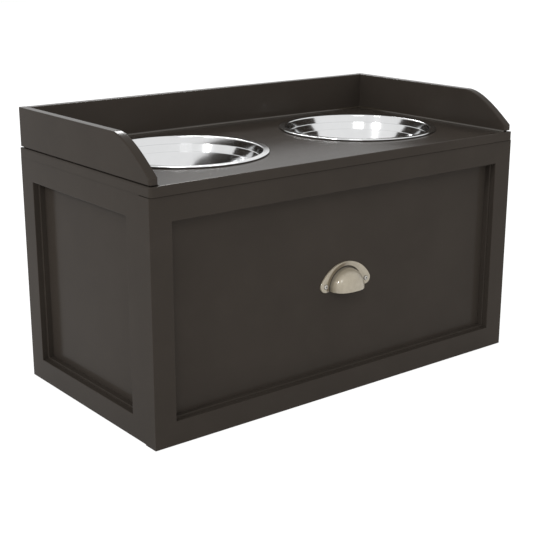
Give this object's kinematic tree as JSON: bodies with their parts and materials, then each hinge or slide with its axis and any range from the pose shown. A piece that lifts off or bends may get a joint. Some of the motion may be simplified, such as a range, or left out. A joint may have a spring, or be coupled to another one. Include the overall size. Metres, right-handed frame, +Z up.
{
  "type": "pet feeder cabinet",
  "caption": "Raised pet feeder cabinet with lift-out bowls in its top board, a low gallery round the top, framed sides and a deep drawer with a cup pull.",
  "frame": {"origin": "on the floor, in the middle of the footprint", "axes": "+Z up, the drawer faces -Y, +X to the right seen from the front"},
  "size_m": [0.6, 0.318, 0.368],
  "materials": {
    "painted_board": "satin dark taupe paint on fibreboard",
    "stainless": "polished stainless sheet",
    "pewter": "aged pewter plating",
    "pewter_screws": "aged pewter plating",
    "zinc_steel": "bright zinc plating",
    "nylon": "natural nylon",
    "bumper_rubber": "clear soft pads",
    "beech": "plain beech"
  },
  "bodies": {
    "cabinet": {"top_board": "painted_board", "gallery_back_rail": "painted_board", "gallery_left_wing": "painted_board", "gallery_right_wing": "painted_board", "gallery_screws": "zinc_steel", "left_front_stile": "painted_board", "left_rear_stile": "painted_board", "left_top_rail": "painted_board", "left_bottom_rail": "painted_board", "left_panel": "painted_board", "right_front_stile": "painted_board", "right_rear_stile": "painted_board", "right_top_rail": "painted_board", "right_bottom_rail": "painted_board", "right_panel": "painted_board", "back_panel": "painted_board", "back_screws": "zinc_steel", "floor_panel": "painted_board", "front_stretcher": "painted_board", "rear_stretcher": "painted_board", "carcass_dowels": "beech", "board_screws": "zinc_steel", "left_runner_channel": "zinc_steel", "right_runner_channel": "zinc_steel", "glide_strips": "nylon", "channel_screws": "zinc_steel", "bumpers": "bumper_rubber"},
    "drawer": {"front_left_stile": "painted_board", "front_right_stile": "painted_board", "front_top_rail": "painted_board", "front_bottom_rail": "painted_board", "front_panel": "painted_board", "box_left_side": "painted_board", "box_right_side": "painted_board", "box_front": "painted_board", "box_back": "painted_board", "box_bottom": "painted_board", "box_screws": "zinc_steel", "front_screws": "zinc_steel", "left_runner_slide": "zinc_steel", "right_runner_slide": "zinc_steel", "slide_screws": "zinc_steel", "cup_pull": "pewter", "pull_screws": "pewter_screws"},
    "left_bowl": {"left_bowl": "stainless"},
    "right_bowl": {"right_bowl": "stainless"}
  },
  "joints": [
    {"name": "drawer_slide", "type": "slide", "parent": "cabinet", "child": "drawer", "axis": [0, -1, 0], "range_m": [0, 0.2]},
    {"name": "left_bowl_lift", "type": "slide", "parent": "cabinet", "child": "left_bowl", "axis": [0, 0, 1], "range_m": [0, 0.12]},
    {"name": "right_bowl_lift", "type": "slide", "parent": "cabinet", "child": "right_bowl", "axis": [0, 0, 1], "range_m": [0, 0.12]}
  ]
}
